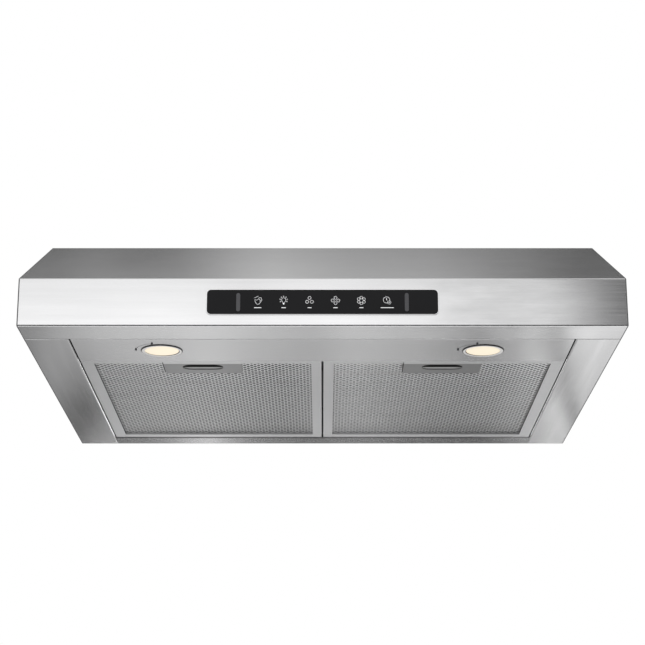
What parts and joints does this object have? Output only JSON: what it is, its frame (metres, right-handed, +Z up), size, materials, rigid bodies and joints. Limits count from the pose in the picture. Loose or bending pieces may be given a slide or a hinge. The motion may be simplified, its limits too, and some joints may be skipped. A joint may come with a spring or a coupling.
{
  "type": "under cabinet range hood",
  "caption": "Slim stainless under-cabinet range hood with sloping front, touch strip, twin lamps, swing-down grease filters and a top duct collar with a damper.",
  "frame": {"origin": "centre of the four cabinet screw holes, on the flat top face", "axes": "+X to the right seen from the front, +Y towards the wall, +Z up"},
  "size_m": [0.6, 0.504, 0.1906],
  "materials": {
    "stainless": "fine horizontal brushing, clear satin",
    "galvanised": "zinc coated, faint spangle",
    "aluminium": "satin anodised",
    "filter_mesh": "expanded metal, lightly etched",
    "black_glass": "polished, printed black behind",
    "sensor_window": "smoked, satin",
    "circuit_board": "solder mask",
    "black_plastic": "fine moulded grain",
    "white_plastic": "fine moulded grain",
    "laminations": "stacked steel sheet",
    "copper": "enamelled wire",
    "bearing_steel": "ground",
    "zinc_plate": "bright zinc",
    "rubber": "matt",
    "cable_jacket": "smooth jacket",
    "bezel": "satin nickel",
    "lamp_lens": "frosted, lit warm white"
  },
  "bodies": {
    "hood": {"top_panel": "stainless", "front_wrap": "stainless", "side_panel_left": "stainless", "side_panel_right": "stainless", "back_panel": "stainless", "underside_frame": "stainless", "light_panel": "stainless", "rear_rail": "stainless", "front_baffle": "galvanised", "duct_collar": "galvanised", "damper_pins": "galvanised", "control_glass": "black_glass", "gesture_windows": "sensor_window", "control_board": "circuit_board", "control_carrier": "black_plastic", "blower_shell": "galvanised", "blower_floor": "galvanised", "inlet_grille": "black_plastic", "discharge_box": "galvanised", "motor_plate": "aluminium", "stator_core": "laminations", "stator_windings": "copper", "motor_bearings": "bearing_steel", "blower_spacers": "zinc_plate", "rubber_bushes": "rubber", "blower_screws": "zinc_plate", "motor_screws": "zinc_plate", "casing_screws": "zinc_plate", "wiring_box": "galvanised", "wiring_cover": "galvanised", "terminal_block": "white_plastic", "power_board": "circuit_board", "led_driver": "white_plastic", "run_capacitor": "white_plastic", "cable_grommet": "rubber", "wiring_harness": "cable_jacket", "led_modules": "aluminium", "lamp_brackets": "galvanised"},
    "rotor": {"rotor_can": "aluminium", "motor_shaft": "bearing_steel", "impeller": "black_plastic"},
    "damper_front": {"damper_flap_front": "galvanised"},
    "damper_rear": {"damper_flap_rear": "galvanised"},
    "lamp_left": {"lamp_bezel_left": "bezel", "lamp_lens_left": "lamp_lens"},
    "filter_left": {"filter_frame_left": "aluminium", "filter_mesh_left": "filter_mesh", "filter_core_left": "filter_mesh", "latch_housing_left": "aluminium", "latch_spring_left": "bearing_steel"},
    "latch_left": {"latch_slider_left": "aluminium"},
    "lamp_right": {"lamp_bezel_right": "bezel", "lamp_lens_right": "lamp_lens"},
    "filter_right": {"filter_frame_right": "aluminium", "filter_mesh_right": "filter_mesh", "filter_core_right": "filter_mesh", "latch_housing_right": "aluminium", "latch_spring_right": "bearing_steel"},
    "latch_right": {"latch_slider_right": "aluminium"}
  },
  "joints": [
    {"name": "impeller_spin", "type": "hinge", "parent": "hood", "child": "rotor", "pos_m": [-0.07, -0.115, -0.075], "axis": [0, 0, 1], "continuous": true},
    {"name": "damper_front_swing", "type": "hinge", "parent": "hood", "child": "damper_front", "pos_m": [0, 0.0488, 0.0172], "axis": [-1, 0, 0], "range_deg": [0, 80]},
    {"name": "damper_rear_swing", "type": "hinge", "parent": "hood", "child": "damper_rear", "pos_m": [0, 0.0552, 0.0172], "axis": [1, 0, 0], "range_deg": [0, 80]},
    {"name": "filter_left_swing", "type": "hinge", "parent": "hood", "child": "filter_left", "pos_m": [-0.1267, 0.1198, -0.15], "axis": [1, 0, 0], "range_deg": [0, 80]},
    {"name": "filter_right_swing", "type": "hinge", "parent": "hood", "child": "filter_right", "pos_m": [0.1267, 0.1198, -0.15], "axis": [1, 0, 0], "range_deg": [0, 80]},
    {"name": "latch_left_slide", "type": "slide", "parent": "filter_left", "child": "latch_left", "axis": [0, 1, 0], "range_m": [0, 0.0055], "stiffness_N_per_m": 400, "springref_m": -0.004, "deforming": ["latch_spring_left"]},
    {"name": "latch_right_slide", "type": "slide", "parent": "filter_right", "child": "latch_right", "axis": [0, 1, 0], "range_m": [0, 0.0055], "stiffness_N_per_m": 400, "springref_m": -0.004, "deforming": ["latch_spring_right"]},
    {"name": "lamp_left_twist", "type": "hinge", "parent": "hood", "child": "lamp_left", "pos_m": [-0.1647, -0.2667, -0.15], "axis": [0, 0, -1], "range_deg": [0, 70]},
    {"name": "lamp_right_twist", "type": "hinge", "parent": "hood", "child": "lamp_right", "pos_m": [0.1647, -0.2667, -0.15], "axis": [0, 0, -1], "range_deg": [0, 70]}
  ]
}
